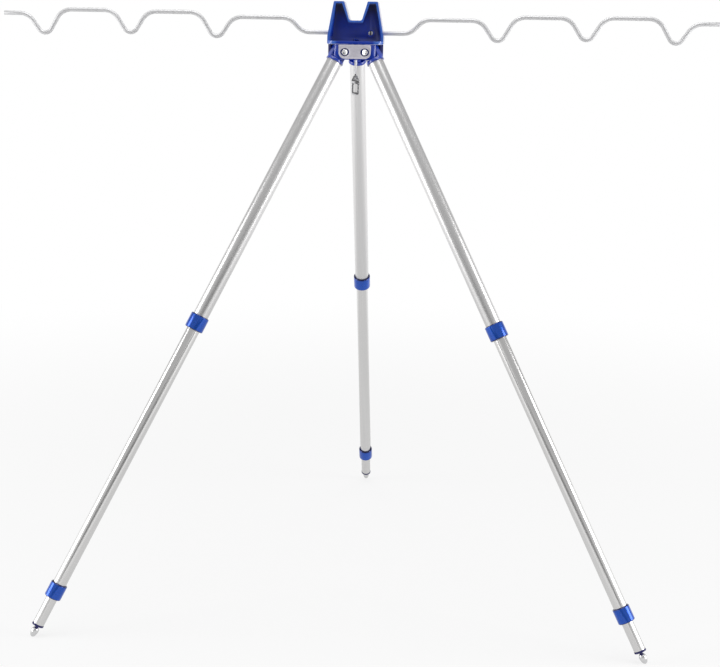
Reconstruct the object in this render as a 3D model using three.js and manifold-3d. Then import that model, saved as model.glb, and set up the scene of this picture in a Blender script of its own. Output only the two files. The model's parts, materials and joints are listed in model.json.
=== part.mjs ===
import * as THREE from 'three';
import { mergeVertices } from 'three/addons/utils/BufferGeometryUtils.js';
import Module from 'manifold-3d';

const wasm = await Module();
wasm.setup();

// Surf rod tripod: a crown with seven rod rests on three folding, telescopic legs.
// Lengths in millimetres, angles in degrees, +Z up, the rear leg towards +Y.
// The stand is built round its upright axis, with zero height at the leg hinges.

// Clearances
const seatGap = 0.3;
const guideGap = 0.1;
const overrun = 4;

// Round pieces: how many sides
const tubeSides = 24;
const collarSides = 28;
const smallSides = 16;
const wireSides = 8;
const cornerSteps = 4;

// Stance
const legLean = 30;
const pivotRadius = 26;
const legs = [
  { side: 'left', azimuth: 210, headTurn: 1 },
  { side: 'right', azimuth: 330, headTurn: -1 },
  { side: 'rear', azimuth: 90, headTurn: 1 },
];

// Crown
const crownLift = 11;
const crownHeight = 58.5;
const crownBaseWidth = 79;
const crownTopWidth = 61.5;
const crownStraight = 10.5;
const crownDepth = 40;
const crownCorner = 1.6;
const notchMouth = 33.4;
const notchFloor = 17.6;
const notchHeight = 32.5;
const notchCorner = 3.5;
const webThickness = 10;
const rimWall = 2.6;
const trayBottom = 4.4;
const trayBaseWidth = 65.5;
const trayTopWidth = 55.5;
const trayHornGap = 38.5;
const trayNotchGap = 20.5;
const trayTopWall = 4.2;
const trayNotchWall = 3.8;
const trayCorner = 1.2;
const flangeThickness = 4.4;
const flangeFront = 27.5;
const flangeRear = 38.5;
const flangeWaist = 4;
const flangeRearWidth = 27.5;
const flangeFrontCorner = 12;
const flangeRearCorner = 5;
const socketHeight = 15.5;
const socketDepth = 30;

// Arms of bent wire
const wireThickness = 6;
const armReach = 506.5;
const armStraight = 76.7;
const armRiseRun = 18.8;
const riseLevel = 19.5;
const secondLevel = 25;
const thirdLevel = 26;
const endLevel = 20;
const restDrop = 39;
const firstRest = 200;
const restPitch = 123.5;
const restHalfWidth = 24.5;
const bendRadius = 24;
const restRadius = 10.5;
const bendSteps = 5;

// Clamp screws of the arms
const clampPlace = 21;
const clampBoss = 11;
const clampBossHeight = 5;
const clampThread = 6;
const clampSlotWidth = 1.2;
const clampSlotDepth = 1.6;

// Hub
const hubDrop = 10.3;
const forkReach = 37.5;
const forkWidth = 26;
const shieldFront = 27;
const shieldWidth = 53;
const shieldDepth = 19;
const shieldCorner = 11;
const shoulderRoom = 14;
const shoulderDepth = 12;

// Front plate
const plateWidth = 45;
const plateThickness = 1.8;
const plateRecess = 0.8;
const plateMargin = 1.3;
const plateCorner = 8;
const plateTopCorner = 1;

// Hinge pins and nuts
const pinThickness = 6;
const pinHead = 8.6;
const pinHeadHeight = 4;
const pinHeadChamfer = 0.8;
const pinPocket = 11;
const frontCheek = 14;
const pinTail = 3.6;
const nutWidth = 10;
const nutHeight = 3;

// Screws that hold the crown on the hub
const crownScrewThickness = 4;
const crownScrewHead = 7;
const crownScrewHeadHeight = 2.6;
const crownScrewLength = 15;
const crownScrewFront = 12.5;
const crownScrewSpread = 9.5;

// Knuckles
const tongueThickness = 10.5;
const tongueHalfWidth = 11.6;
const tongueRound = 10.5;
const shoulderDrop = 11.3;
const capTop = 24;
const capRim = 26;
const capHeight = 4.4;
const capRoof = 1.4;
const plugLength = 15;

// Legs: three tubes, each inside the one above it
const upperOuter = 22;
const upperInner = 19.6;
const upperLength = 418.3;
const middleOuter = 19;
const middleInner = 16.6;
const middleExtra = 28.5;
const middleOverlap = 37.5;
const lowerOuter = 16;
const lowerInner = 13.6;
const lowerLength = 430;
const lowerShown = 52;
const middleLength = lowerLength + middleExtra;

// Collars and the bushes in them
const collarLength = 22;
const collarCover = 11;
const collarLip = 2.2;
const collarChamfer = 1;
const upperCollarOuter = 26.7;
const lowerCollarOuter = 23.7;
const lipGap = 0.4;
const bushSplit = 1.2;

// Guide plugs on the tubes' tops
const guideHeight = 4;
const guideTail = 12;

// End caps and feet
const capRing = 16.8;
const capRingHeight = 2.5;
const capTail = 14;
const footStud = 6;
const footNeck = 2.3;
const footThickness = 10.5;
const footStraight = 9.5;
const footChamfer = 0.8;
const footStudLength = 12;
const footArcSteps = 6;

// Hook under the hub
const swivelHead = 8;
const swivelHeadHeight = 3;
const swivelFloor = 4;
const swivelShank = 3.6;
const swivelReach = 36;
const lugThickness = 2.6;
const lugWidth = 5.6;
const hookPinThickness = 1.8;
const hookLength = 27.5;
const hookWidth = 11;
const hookThickness = 4;
const hookWall = 2.8;
const hookCrown = 8.5;
const hookThroat = 11.5;
const hookForkThickness = 1.3;
const hookForkHeight = 3.4;
const gateThickness = 2.2;
const gateDrop = 3;
const gateTang = 1.6;
const gatePinThickness = 1.2;
const gateNose = 3;

// Colours
const royalBlue = new THREE.MeshStandardMaterial({ color: 0x1a37a8, roughness: 0.35, metalness: 0 });
const deepBlue = new THREE.MeshStandardMaterial({ color: 0x16205c, roughness: 0.45, metalness: 0 });
const aluminium = new THREE.MeshStandardMaterial({ color: 0xb9b9b6, roughness: 0.35, metalness: 1 });
const wire = new THREE.MeshStandardMaterial({ color: 0xa9a9ab, roughness: 0.3, metalness: 1 });
const steel = new THREE.MeshStandardMaterial({ color: 0xcfcfd2, roughness: 0.2, metalness: 1 });
const plateMetal = new THREE.MeshStandardMaterial({ color: 0xc4c0cc, roughness: 0.45, metalness: 1 });
const nylon = new THREE.MeshStandardMaterial({ color: 0xe6e6e2, roughness: 0.6, metalness: 0 });

const radians = THREE.MathUtils.degToRad;

// A closed solid from any geometry, its shared corners joined and its faces turned outward
function solid(geometry) {
  const bare = geometry.index ? geometry.clone() : mergeVertices(geometry);
  bare.deleteAttribute('normal');
  bare.deleteAttribute('uv');
  const merged = mergeVertices(bare);
  const position = merged.getAttribute('position');
  const index = merged.getIndex();
  const corners = [];
  let volume = 0;
  for (let i = 0; i < index.count; i += 3) {
    const a = index.getX(i);
    const b = index.getX(i + 1);
    const c = index.getX(i + 2);
    if (a === b || b === c || c === a) continue;
    corners.push(a, b, c);
    const pa = new THREE.Vector3().fromBufferAttribute(position, a);
    const pb = new THREE.Vector3().fromBufferAttribute(position, b);
    const pc = new THREE.Vector3().fromBufferAttribute(position, c);
    volume += pa.dot(pb.cross(pc));
  }
  if (volume < 0) corners.reverse();
  const vertProperties = new Float32Array(position.array);
  const triVerts = new Uint32Array(corners);
  return new wasm.Manifold(new wasm.Mesh({ numProp: 3, vertProperties, triVerts }));
}

function join(shapes) {
  return shapes.reduce((sum, shape) => sum.add(shape));
}

function cut(shape, tools) {
  return tools.reduce((rest, tool) => rest.subtract(tool), shape);
}

// A named mesh of a solid, added to its group
function piece(group, name, shape, material) {
  const { vertProperties, triVerts } = shape.getMesh();
  const geometry = new THREE.BufferGeometry();
  geometry.setAttribute('position', new THREE.BufferAttribute(new Float32Array(vertProperties), 3));
  geometry.setIndex(new THREE.BufferAttribute(new Uint32Array(triVerts), 1));
  geometry.computeVertexNormals();
  const mesh = new THREE.Mesh(geometry, material);
  mesh.name = name;
  group.add(mesh);
  return mesh;
}

// Corners rounded to their radii, each by an arc of a few steps
function rounded(corners, radii, steps = cornerSteps) {
  const points = [];
  corners.forEach((corner, i) => {
    const before = corners[(i + corners.length - 1) % corners.length];
    const after = corners[(i + 1) % corners.length];
    const inward = before.clone().sub(corner).normalize();
    const outward = after.clone().sub(corner).normalize();
    const half = Math.acos(inward.dot(outward)) / 2;
    const reach = radii[i] / Math.tan(half);
    const start = corner.clone().addScaledVector(inward, reach);
    const end = corner.clone().addScaledVector(outward, reach);
    const middle = inward.clone().add(outward).normalize();
    const centre = corner.clone().addScaledVector(middle, radii[i] / Math.sin(half));
    const from = start.clone().sub(centre).angle();
    let sweep = end.clone().sub(centre).angle() - from;
    if (sweep > Math.PI) sweep -= 2 * Math.PI;
    if (sweep < -Math.PI) sweep += 2 * Math.PI;
    for (let step = 0; step <= steps; step += 1) {
      const angle = from + (sweep * step) / steps;
      const spoke = new THREE.Vector2(Math.cos(angle), Math.sin(angle));
      points.push(centre.clone().addScaledVector(spoke, radii[i]));
    }
  });
  return points;
}

// A skin over rings of equal count, closed by the outline's own triangles at both ends
function skin(rings, outline) {
  const count = outline.length;
  const last = (rings.length - 1) * count;
  const faces = [];
  for (let ring = 0; ring < rings.length - 1; ring += 1) {
    for (let j = 0; j < count; j += 1) {
      const a = ring * count + j;
      const b = ring * count + ((j + 1) % count);
      faces.push(a, b, b + count, a, b + count, a + count);
    }
  }
  for (const [a, b, c] of THREE.ShapeUtils.triangulateShape(outline, [])) {
    faces.push(c, b, a);
    faces.push(a + last, b + last, c + last);
  }
  const geometry = new THREE.BufferGeometry();
  const positions = rings.flat().flatMap((point) => point.toArray());
  geometry.setAttribute('position', new THREE.Float32BufferAttribute(positions, 3));
  geometry.setIndex(faces);
  return solid(geometry);
}

// An outline in X and Z, given depth along Y between two places, drawn in to a second outline
function upright(outline, front, back, backOutline = outline) {
  const place = (y) => (point) => new THREE.Vector3(point.x, y, point.y);
  return skin([outline.map(place(front)), backOutline.map(place(back))], outline);
}

// An outline in X and Y between two heights
function flat(outline, low, high) {
  const place = (z) => (point) => new THREE.Vector3(point.x, point.y, z);
  return skin([outline.map(place(low)), outline.map(place(high))], outline);
}

function block(low, high) {
  const size = new THREE.Vector3().subVectors(high, low);
  const geometry = new THREE.BoxGeometry(size.x, size.y, size.z);
  const middle = new THREE.Vector3().addVectors(low, high).multiplyScalar(0.5);
  geometry.translate(middle.x, middle.y, middle.z);
  return solid(geometry);
}

// A profile of radius and height turned about the Z axis
function turned(profile, sides) {
  const points = profile.map(([radius, height]) => new THREE.Vector2(radius, height));
  const geometry = new THREE.LatheGeometry(points, sides);
  geometry.rotateX(radians(90));
  return solid(geometry);
}

function ring(inner, outer, low, high, sides) {
  const profile = [[inner, low], [outer, low], [outer, high], [inner, high], [inner, low]];
  return turned(profile, sides);
}

// A round bar between two points
function bar(start, end, radius, sides) {
  const along = new THREE.Vector3().subVectors(end, start);
  const geometry = new THREE.CylinderGeometry(radius, radius, along.length(), sides);
  const up = new THREE.Vector3(0, 1, 0);
  const turn = new THREE.Quaternion().setFromUnitVectors(up, along.clone().normalize());
  geometry.applyQuaternion(turn);
  const middle = new THREE.Vector3().addVectors(start, end).multiplyScalar(0.5);
  geometry.translate(middle.x, middle.y, middle.z);
  return solid(geometry);
}

function moved(shape, x, y, z) {
  return shape.translate([x, y, z]);
}

// The stand: everything hangs on this group, whose origin is on the axis at the hinges
const stand = new THREE.Group();

// Places on the stand that several pieces share
const crownTop = crownLift + crownHeight;
const hubTop = crownLift - seatGap;
const socketLevel = crownLift + socketHeight;
const socketEnd = crownBaseWidth / 2 - socketDepth;
const pinPlaces = legs.map((leg) => {
  const angle = radians(leg.azimuth);
  const pivot = new THREE.Vector3(Math.cos(angle), Math.sin(angle), 0).multiplyScalar(pivotRadius);
  const along = new THREE.Vector3(-Math.sin(angle), Math.cos(angle), 0).multiplyScalar(leg.headTurn);
  return { ...leg, angle, pivot, along };
});
const at = (place, distance) => place.pivot.clone().addScaledVector(place.along, distance);
const crownScrewPlaces = [
  ['front', 0, -crownScrewFront],
  ['right', crownScrewSpread, crownScrewFront],
  ['left', -crownScrewSpread, crownScrewFront],
];

// Crown: an upright with a notch between two horns, a tray sunk in each face, and a flange
const point = (x, y) => new THREE.Vector2(x, y);
const crownHalf = [
  point(crownBaseWidth / 2, crownLift),
  point(crownBaseWidth / 2, crownLift + crownStraight),
  point(crownTopWidth / 2, crownTop),
  point(notchMouth / 2, crownTop),
  point(notchFloor / 2, crownLift + notchHeight),
];
const mirrored = (half) => [...half, ...half.map((p) => point(-p.x, p.y)).reverse()];
const crownRadii = [crownCorner, notchCorner, crownCorner, crownCorner, notchCorner];
const crownOutline = rounded(mirrored(crownHalf), [...crownRadii, ...crownRadii.toReversed()]);
const trayRadii = crownRadii.map(() => trayCorner);
const trayRounds = [...trayRadii, ...trayRadii];
const mouthHalf = [
  point(crownBaseWidth / 2 - rimWall, crownLift + trayBottom - seatGap),
  point(crownBaseWidth / 2 - rimWall, crownLift + crownStraight),
  point(crownTopWidth / 2 - rimWall, crownTop - rimWall),
  point(notchMouth / 2 + rimWall, crownTop - rimWall),
  point(notchFloor / 2 + rimWall / 2, crownLift + notchHeight - rimWall),
];
const floorHalf = [
  point(trayBaseWidth / 2, crownLift + trayBottom),
  point(trayBaseWidth / 2, crownLift + crownStraight),
  point(trayTopWidth / 2, crownTop - trayTopWall),
  point(trayHornGap / 2, crownTop - trayTopWall),
  point(trayNotchGap / 2, crownLift + notchHeight - trayNotchWall),
];
const trayMouth = rounded(mirrored(mouthHalf), trayRounds);
const trayFloor = rounded(mirrored(floorHalf), trayRounds);
const flangeOutline = rounded(
  [
    point(-crownBaseWidth / 2, -flangeFront),
    point(crownBaseWidth / 2, -flangeFront),
    point(crownBaseWidth / 2, -flangeWaist),
    point(flangeRearWidth / 2, flangeRear),
    point(-flangeRearWidth / 2, flangeRear),
    point(-crownBaseWidth / 2, -flangeWaist),
  ],
  [
    flangeFrontCorner,
    flangeFrontCorner,
    flangeRearCorner,
    flangeRearCorner,
    flangeRearCorner,
    flangeRearCorner,
  ],
);
const crownBlank = join([
  upright(crownOutline, -crownDepth / 2, crownDepth / 2),
  flat(flangeOutline, crownLift, crownLift + flangeThickness),
]);
const frontTray = upright(trayMouth, -crownDepth / 2, -webThickness / 2, trayFloor);
const rearTray = upright(trayFloor, webThickness / 2, crownDepth / 2, trayMouth);
const bossEnd = webThickness / 2 + clampBossHeight;
const clampBosses = [1, -1].map((sign) => bar(
  new THREE.Vector3(sign * clampPlace, 0, socketLevel),
  new THREE.Vector3(sign * clampPlace, -sign * bossEnd, socketLevel),
  clampBoss / 2,
  smallSides,
));
const socketBores = [1, -1].map((sign) => bar(
  new THREE.Vector3(sign * socketEnd, 0, socketLevel),
  new THREE.Vector3(sign * (crownBaseWidth / 2 + overrun), 0, socketLevel),
  wireThickness / 2 + seatGap,
  smallSides,
));
const clampBores = [1, -1].map((sign) => bar(
  new THREE.Vector3(sign * clampPlace, 0, socketLevel),
  new THREE.Vector3(sign * clampPlace, -sign * (bossEnd + overrun), socketLevel),
  clampThread / 2 + seatGap,
  smallSides,
));
const crownScrewBores = crownScrewPlaces.map(([, x, y]) => bar(
  new THREE.Vector3(x, y, crownLift - overrun),
  new THREE.Vector3(x, y, crownLift + trayBottom + overrun),
  crownScrewThickness / 2 + seatGap,
  smallSides,
));
const crownHollow = cut(crownBlank, [frontTray, rearTray]);
const crown = cut(join([crownHollow, ...clampBosses]), [...socketBores, ...clampBores, ...crownScrewBores]);
piece(stand, 'crown', crown, royalBlue);

// Hub: three forks about a core, joined in front by a flat shield
const forkBlank = block(
  new THREE.Vector3(0, -forkWidth / 2, -hubDrop),
  new THREE.Vector3(forkReach, forkWidth / 2, hubTop),
);
const slotInner = pivotRadius - tongueRound - 2 * seatGap;
const slotHalf = tongueThickness / 2 + seatGap;
const slotBlank = block(
  new THREE.Vector3(slotInner, -slotHalf, -hubDrop - overrun),
  new THREE.Vector3(forkReach + overrun, slotHalf, hubTop + overrun),
);
const lean = radians(legLean);
const down = new THREE.Vector3(Math.sin(lean), 0, -Math.cos(lean));
const pivotPoint = new THREE.Vector3(pivotRadius, 0, 0);
const shoulderBlank = bar(
  pivotPoint.clone().addScaledVector(down, shoulderDrop - seatGap),
  pivotPoint.clone().addScaledVector(down, shoulderDrop + shoulderDepth),
  shoulderRoom,
  tubeSides,
);
const shieldOutline = rounded(
  [
    point(-shieldWidth / 2, -hubDrop),
    point(shieldWidth / 2, -hubDrop),
    point(shieldWidth / 2, hubTop),
    point(-shieldWidth / 2, hubTop),
  ],
  [shieldCorner, shieldCorner, crownCorner / 2, crownCorner / 2],
);
const plateOutline = rounded(
  [
    point(-plateWidth / 2, -hubDrop + plateMargin),
    point(plateWidth / 2, -hubDrop + plateMargin),
    point(plateWidth / 2, hubTop - plateMargin / 2),
    point(-plateWidth / 2, hubTop - plateMargin / 2),
  ],
  [plateCorner, plateCorner, plateTopCorner, plateTopCorner],
);
const recessOutline = rounded(
  [
    point(-plateWidth / 2 - seatGap, -hubDrop + plateMargin - seatGap),
    point(plateWidth / 2 + seatGap, -hubDrop + plateMargin - seatGap),
    point(plateWidth / 2 + seatGap, hubTop - plateMargin / 2 + seatGap),
    point(-plateWidth / 2 - seatGap, hubTop - plateMargin / 2 + seatGap),
  ],
  [plateCorner + seatGap, plateCorner + seatGap, plateTopCorner + seatGap, plateTopCorner + seatGap],
);
const aheadOfShield = block(
  new THREE.Vector3(-forkReach - overrun, -forkReach - forkWidth, -hubDrop - overrun),
  new THREE.Vector3(forkReach + overrun, -shieldFront, hubTop + overrun),
);
const turnedTo = (shape, azimuth) => shape.rotate([0, 0, azimuth]);
const pocketFrom = (start) => (place) => bar(
  at(place, start),
  at(place, forkReach),
  pinPocket / 2,
  tubeSides,
);
const frontPlaces = pinPlaces.filter((place) => place.side !== 'rear');
const pinPockets = frontPlaces.map(pocketFrom(frontCheek));
const pinBores = pinPlaces.map((place) => bar(
  at(place, -forkWidth),
  at(place, forkWidth),
  pinThickness / 2 + seatGap,
  smallSides,
));
const swivelPocket = bar(
  new THREE.Vector3(0, 0, -swivelFloor),
  new THREE.Vector3(0, 0, hubTop + overrun),
  swivelHead / 2 + seatGap,
  smallSides,
);
const swivelBore = bar(
  new THREE.Vector3(0, 0, -hubDrop - overrun),
  new THREE.Vector3(0, 0, 0),
  swivelShank / 2 + seatGap,
  smallSides,
);
const crownScrewTip = crownLift + trayBottom + seatGap - crownScrewLength;
const pilotBores = crownScrewPlaces.map(([, x, y]) => bar(
  new THREE.Vector3(x, y, crownScrewTip - seatGap),
  new THREE.Vector3(x, y, hubTop + overrun),
  crownScrewThickness / 2 + seatGap,
  smallSides,
));
const hubBlank = cut(
  join([
    ...pinPlaces.map((place) => turnedTo(forkBlank, place.azimuth)),
    upright(shieldOutline, -shieldFront, shieldDepth - shieldFront),
  ]),
  [aheadOfShield, ...pinPlaces.map((place) => turnedTo(shoulderBlank, place.azimuth))],
);
const hub = cut(hubBlank, [
  ...pinPlaces.map((place) => turnedTo(slotBlank, place.azimuth)),
  upright(recessOutline, -shieldFront - overrun, plateRecess - shieldFront),
  ...pinPockets,
  ...pinBores,
  swivelPocket,
  swivelBore,
  ...pilotBores,
]);
piece(stand, 'hub', hub, royalBlue);

// Front plate, let into the shield, open round the two pin heads
const plateBack = plateRecess - shieldFront - seatGap;
const plateHoles = frontPlaces.map(pocketFrom(0));
const plate = cut(upright(plateOutline, plateBack - plateThickness, plateBack), plateHoles);
piece(stand, 'front_plate', plate, plateMetal);

// Crown screws, down through the trays' bottom wall into the hub
const crownScrewSeat = crownLift + trayBottom + seatGap;
const crownScrew = turned(
  [
    [0, crownScrewTip],
    [crownScrewThickness / 2, crownScrewTip],
    [crownScrewThickness / 2, crownScrewSeat],
    [crownScrewHead / 2, crownScrewSeat],
    [crownScrewHead / 2, crownScrewSeat + crownScrewHeadHeight],
    [0, crownScrewSeat + crownScrewHeadHeight],
  ],
  smallSides,
);
for (const [side, x, y] of crownScrewPlaces) {
  piece(stand, `crown_screw_${side}`, crownScrew, steel).position.set(x, y, 0);
}

// Arms: round wire with three rounded V rests each, its inner end in the crown's socket
const restLevels = [riseLevel, secondLevel, thirdLevel, endLevel];
const armCorners = [
  [socketEnd + seatGap, 0, bendRadius],
  [armStraight, 0, bendRadius],
  [armStraight + armRiseRun, riseLevel, bendRadius],
];
for (let rest = 0; rest < restLevels.length - 1; rest += 1) {
  const middle = firstRest + rest * restPitch;
  const before = restLevels[rest];
  const after = restLevels[rest + 1];
  armCorners.push([middle - restHalfWidth, before, bendRadius]);
  armCorners.push([middle, (before + after) / 2 - restDrop, restRadius]);
  armCorners.push([middle + restHalfWidth, after, bendRadius]);
}
armCorners.push([armReach, endLevel, bendRadius]);

function bentWire(corners, bends, radius, sides) {
  const places = rounded(corners, bends, bendSteps);
  const inner = places.slice(bendSteps + 1, -bendSteps - 1);
  const path = [corners[0], ...inner, corners[corners.length - 1]];
  const section = [];
  for (let side = 0; side < sides; side += 1) {
    const angle = (2 * Math.PI * side) / sides;
    section.push(point(Math.cos(angle), Math.sin(angle)).multiplyScalar(radius));
  }
  const rings = path.map((place, i) => {
    const before = path[Math.max(i - 1, 0)];
    const after = path[Math.min(i + 1, path.length - 1)];
    const into = place.clone().sub(before);
    const out = after.clone().sub(place);
    const along = into.normalize().add(out.normalize()).normalize();
    const straight = Math.max(into.length(), out.length());
    const stretch = straight / Math.max(along.dot(out.lengthSq() ? out : into), 0.5);
    return section.map((p) => {
      const across = p.y * stretch;
      return new THREE.Vector3(place.x - along.y * across, p.x, place.y + along.x * across);
    });
  });
  return skin(rings, section);
}

const armWire = bentWire(
  armCorners.map(([x, z]) => point(x, z)),
  armCorners.map(([, , bend]) => bend),
  wireThickness / 2,
  wireSides,
);
const rightArm = moved(armWire, 0, 0, socketLevel);
piece(stand, 'right_arm', rightArm, wire);
piece(stand, 'left_arm', rightArm.rotate([0, 0, 180]), wire);

// Clamp screws: slotted, each pressing on its wire, the right one in front and the left one behind
const clampTip = wireThickness / 2 + seatGap;
const clampLength = bossEnd - clampTip;
const clampBlank = turned(
  [
    [0, 0],
    [clampThread / 2 - seatGap, 0],
    [clampThread / 2, seatGap],
    [clampThread / 2, clampLength - seatGap],
    [clampThread / 2 - seatGap, clampLength],
    [0, clampLength],
  ],
  smallSides,
);
const clampSlot = block(
  new THREE.Vector3(-clampSlotWidth / 2, -clampThread, clampLength - clampSlotDepth),
  new THREE.Vector3(clampSlotWidth / 2, clampThread, clampLength + overrun),
);
const clampScrew = cut(clampBlank, [clampSlot]);
for (const [name, sign] of [['right_arm_screw', 1], ['left_arm_screw', -1]]) {
  const mesh = piece(stand, name, clampScrew, steel);
  mesh.rotation.x = radians(sign * 90);
  mesh.position.set(sign * clampPlace, -sign * clampTip, socketLevel);
}

// Swivel of the hook: its head turns in the hub, its lug carries the hook's pin
const swivelTurned = turned(
  [
    [0, -swivelReach],
    [swivelShank / 2, -swivelReach],
    [swivelShank / 2, seatGap - swivelFloor],
    [swivelHead / 2, seatGap - swivelFloor],
    [swivelHead / 2, seatGap - swivelFloor + swivelHeadHeight],
    [0, seatGap - swivelFloor + swivelHeadHeight],
  ],
  smallSides,
);
const acrossLug = (radius, half, sides) => bar(
  new THREE.Vector3(0, -half, -swivelReach),
  new THREE.Vector3(0, half, -swivelReach),
  radius,
  sides,
);
const lugClear = lugThickness / 2 + seatGap;
const sideTrim = (sign) => block(
  new THREE.Vector3(-lugWidth, Math.min(sign * lugThickness / 2, sign * lugWidth), -swivelReach - lugWidth),
  new THREE.Vector3(lugWidth, Math.max(sign * lugThickness / 2, sign * lugWidth), lugWidth - swivelReach),
);
const swivel = cut(
  join([swivelTurned, acrossLug(lugWidth / 2, lugThickness / 2, smallSides)]),
  [sideTrim(1), sideTrim(-1), acrossLug(hookPinThickness / 2 + seatGap, lugWidth, smallSides)],
);
piece(stand, 'hook_swivel', swivel, steel);

// Snap hook: a fork about the lug, then a long eye whose right side the gate closes
const hook = new THREE.Group();
hook.position.z = -swivelReach;
stand.add(hook);
const hookOuter = rounded(
  [
    point(-hookWidth / 2, hookForkHeight - hookLength),
    point(hookWidth / 2, hookForkHeight - hookLength),
    point(hookWidth / 2, -hookForkHeight),
    point(lugWidth / 2, hookForkHeight),
    point(-lugWidth / 2, hookForkHeight),
    point(-hookWidth / 2, -hookForkHeight),
  ],
  [hookWidth / 3, hookWidth / 3, lugWidth / 3, lugWidth / 3, lugWidth / 3, lugWidth / 3],
);
const throatTop = -hookCrown;
const throatBottom = throatTop - hookThroat;
const throatLeft = hookWall - hookWidth / 2;
const throatRight = hookWidth / 2 - hookWall;
const throatOutline = rounded(
  [
    point(throatLeft, throatBottom),
    point(throatRight, throatBottom),
    point(throatRight, throatTop),
    point(throatLeft, throatTop),
  ],
  [hookWall / 2, hookWall / 2, hookWall / 2, hookWall / 2],
);
const hookHalf = hookThickness / 2;
const forkHalf = lugClear + hookForkThickness;
const forkRoom = (hookForkHeight + lugWidth) / 2 + seatGap;
const gateHinge = new THREE.Vector3((hookWidth - hookWall) / 2, 0, throatTop + gateThickness / 2);
const gateTop = gateHinge.z - gateDrop;
const gateBottom = throatBottom + gateNose;
const gateOpening = block(
  new THREE.Vector3(throatRight - seatGap, -forkHalf - overrun, gateBottom - seatGap),
  new THREE.Vector3(hookWidth / 2 + overrun, forkHalf + overrun, gateTop + seatGap),
);
const tangHalf = gateTang / 2 + seatGap;
const tangSlot = block(
  new THREE.Vector3(throatRight - gateThickness / 2, -tangHalf, gateTop),
  new THREE.Vector3(hookWidth / 2 + overrun, tangHalf, gateHinge.z + gateThickness / 2 + seatGap),
);
const acrossGate = (radius, half) => bar(
  new THREE.Vector3(gateHinge.x, -half, gateHinge.z),
  new THREE.Vector3(gateHinge.x, half, gateHinge.z),
  radius,
  smallSides,
);
const forkTrim = (sign) => block(
  new THREE.Vector3(-hookWidth, Math.min(sign * hookHalf, sign * forkHalf * 2), -hookLength - overrun),
  new THREE.Vector3(hookWidth, Math.max(sign * hookHalf, sign * forkHalf * 2), -forkRoom),
);
const hookBody = cut(upright(hookOuter, -forkHalf, forkHalf), [
  block(
    new THREE.Vector3(-hookWidth, -lugClear, -forkRoom),
    new THREE.Vector3(hookWidth, lugClear, hookForkHeight + overrun),
  ),
  forkTrim(1),
  forkTrim(-1),
  upright(throatOutline, -forkHalf - overrun, forkHalf + overrun),
  gateOpening,
  tangSlot,
  acrossGate(gatePinThickness / 2 + seatGap / 2, hookThickness),
  bar(
    new THREE.Vector3(0, -forkHalf - overrun, 0),
    new THREE.Vector3(0, forkHalf + overrun, 0),
    hookPinThickness / 2 + seatGap,
    smallSides,
  ),
]);
piece(hook, 'snap_hook', hookBody, steel);

// Pin through fork and lug
piece(hook, 'hook_pin', bar(
  new THREE.Vector3(0, -forkHalf - seatGap, 0),
  new THREE.Vector3(0, forkHalf + seatGap, 0),
  hookPinThickness / 2,
  smallSides,
), steel);

// Gate: a tang on its own pin in the hook's slot, and a blade that lies in the open side
const gateBody = cut(
  join([
    acrossGate(gateThickness / 2, gateTang / 2),
    block(
      new THREE.Vector3(gateHinge.x - gateThickness / 2, -gateTang / 2, gateTop - seatGap),
      new THREE.Vector3(gateHinge.x + gateThickness / 2, gateTang / 2, gateHinge.z),
    ),
    block(
      new THREE.Vector3(gateHinge.x - gateThickness / 2, -hookHalf, gateBottom),
      new THREE.Vector3(gateHinge.x + gateThickness / 2, hookHalf, gateTop),
    ),
  ]),
  [acrossGate(gatePinThickness / 2 + seatGap / 2, hookThickness)],
);
piece(hook, 'hook_gate', gateBody, steel);
piece(hook, 'hook_gate_pin', acrossGate(gatePinThickness / 2, hookHalf), steel);

// Hinge pins and their nuts
const pinShaft = (place) => {
  const seat = place.side === 'rear' ? forkWidth / 2 : frontCheek;
  return { seat, start: -forkWidth / 2 - seatGap - nutHeight - pinTail / 2, head: seat + seatGap };
};
for (const place of pinPlaces) {
  const { start, head } = pinShaft(place);
  const group = new THREE.Group();
  group.position.copy(place.pivot);
  group.quaternion.setFromUnitVectors(new THREE.Vector3(0, 0, 1), place.along);
  stand.add(group);
  const pin = turned(
    [
      [0, start],
      [pinThickness / 2, start],
      [pinThickness / 2, head],
      [pinHead / 2, head],
      [pinHead / 2, head + pinHeadHeight - pinHeadChamfer],
      [pinHead / 2 - pinHeadChamfer, head + pinHeadHeight],
      [0, head + pinHeadHeight],
    ],
    smallSides,
  );
  piece(group, `${place.side}_hinge_pin`, pin, steel);
  const nutLow = -forkWidth / 2 - seatGap - nutHeight;
  const nut = cut(
    bar(new THREE.Vector3(0, 0, nutLow), new THREE.Vector3(0, 0, nutLow + nutHeight), nutWidth / Math.sqrt(3), 6),
    [bar(
      new THREE.Vector3(0, 0, nutLow - overrun),
      new THREE.Vector3(0, 0, nutLow + nutHeight + overrun),
      pinThickness / 2 + seatGap,
      smallSides,
    )],
  );
  piece(group, `${place.side}_hinge_nut`, nut, steel);
}

// Heights along a leg, downward from its hinge
const rimLevel = -shoulderDrop - capHeight;
const roofLevel = -shoulderDrop - capRoof;
const upperTop = roofLevel - seatGap;
const upperEnd = upperTop - upperLength;
const middleTop = upperEnd + middleOverlap;
const middleEnd = middleTop - middleLength;
const lowerEnd = middleEnd - lowerShown;
const lowerTop = lowerEnd + lowerLength;
const plugEnd = upperTop - plugLength;

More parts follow.
